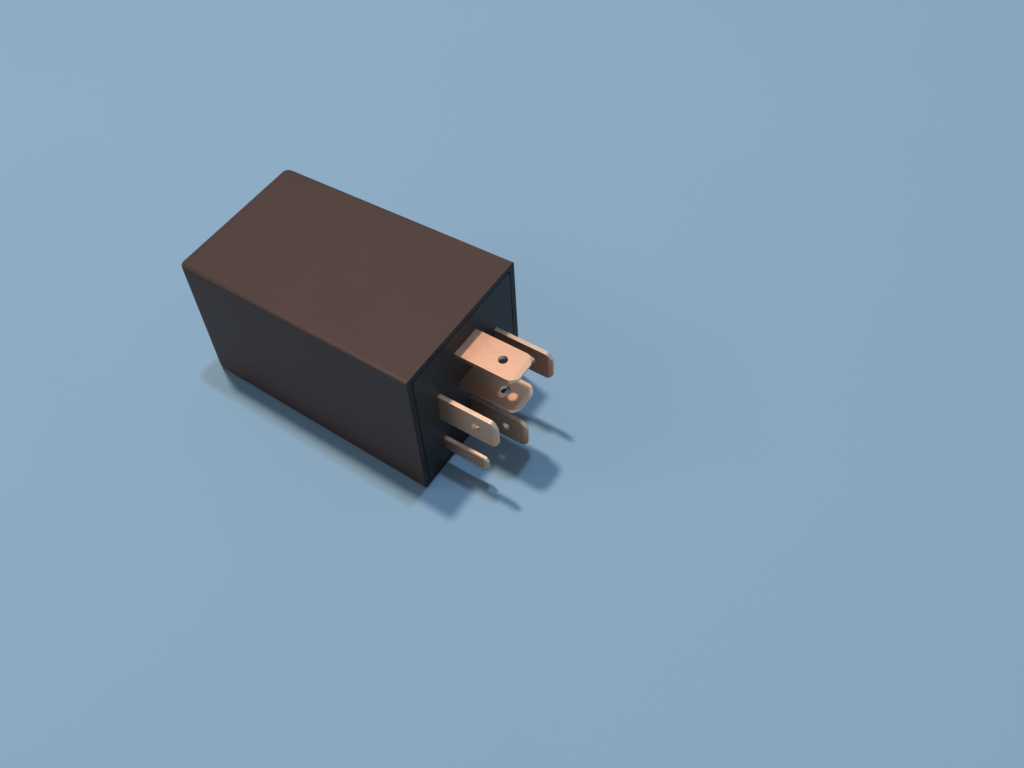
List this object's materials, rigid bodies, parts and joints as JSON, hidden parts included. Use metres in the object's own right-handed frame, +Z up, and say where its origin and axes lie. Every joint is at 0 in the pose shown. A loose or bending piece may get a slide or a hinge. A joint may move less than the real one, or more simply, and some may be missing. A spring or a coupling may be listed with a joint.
{
  "type": "plug-in automotive relay",
  "caption": "Tall black plug-in automotive changeover relay: drafted moulded cover, flat base and flat blade terminals, with a hinged armature and a timer board inside.",
  "frame": {"origin": "centre of the base's outer face, between the blades", "axes": "+X out of the base along the blades, +Y across the case, +Z up with the relay lying on one of its four long sides"},
  "size_m": [0.0618, 0.0302, 0.0302],
  "materials": {
    "case_plastic": "matte brownish black moulded plastic with a very fine grain",
    "base_plastic": "matte black moulded plastic",
    "tinned_brass": "satin copper alloy strip, thinly tinned",
    "plated_steel": "dull zinc plating",
    "bobbin_plastic": "natural glass-filled plastic",
    "enamelled_copper": "glossy enamelled copper wire, wound in layers",
    "tinned_wire": "bright tinned wire",
    "spring_bronze": "rolled bronze spring strip",
    "contact_silver": "silver alloy rivet",
    "board_laminate": "green laminate",
    "component_black": "black epoxy",
    "can_sleeve": "dark blue shrunk sleeve",
    "film_red": "red dipped case",
    "ceramic_tan": "tan dipped disc",
    "resistor_beige": "beige lacquer with plain rings",
    "resistor_grey": "grey-blue flameproof lacquer",
    "diode_glass": "orange glass body"
  },
  "bodies": {
    "relay_body": {"cover": "case_plastic", "base": "base_plastic", "terminal_30": "tinned_brass", "terminal_85": "tinned_brass", "terminal_86": "tinned_brass", "terminal_87": "tinned_brass", "terminal_87a": "tinned_brass", "signal_terminal": "tinned_brass", "yoke": "plated_steel", "core": "plated_steel", "bobbin": "bobbin_plastic", "coil_winding": "enamelled_copper", "coil_supply_pin": "tinned_wire", "coil_switched_pin": "tinned_wire", "normally_open_contact": "contact_silver", "normally_closed_contact": "contact_silver", "supply_link": "tinned_wire", "circuit_board": "board_laminate", "timer_chip": "component_black", "smoothing_capacitor": "can_sleeve", "timing_capacitor": "film_red", "ceramic_capacitors": "ceramic_tan", "small_resistors": "resistor_beige", "supply_resistor": "resistor_grey", "flyback_diode": "component_black", "zener_diode": "diode_glass", "driver_transistor": "component_black"},
    "armature_group": {"armature": "plated_steel", "contact_spring": "spring_bronze", "moving_contact": "contact_silver"}
  },
  "joints": [
    {"name": "armature_hinge", "type": "hinge", "parent": "relay_body", "child": "armature_group", "pos_m": [-0.0264, 0, -0.0104], "axis": [0, 1, 0], "range_deg": [0, 3.2], "stiffness_Nm_per_rad": 0.12, "springref_deg": -11.46, "deforming": ["contact_spring"]}
  ]
}
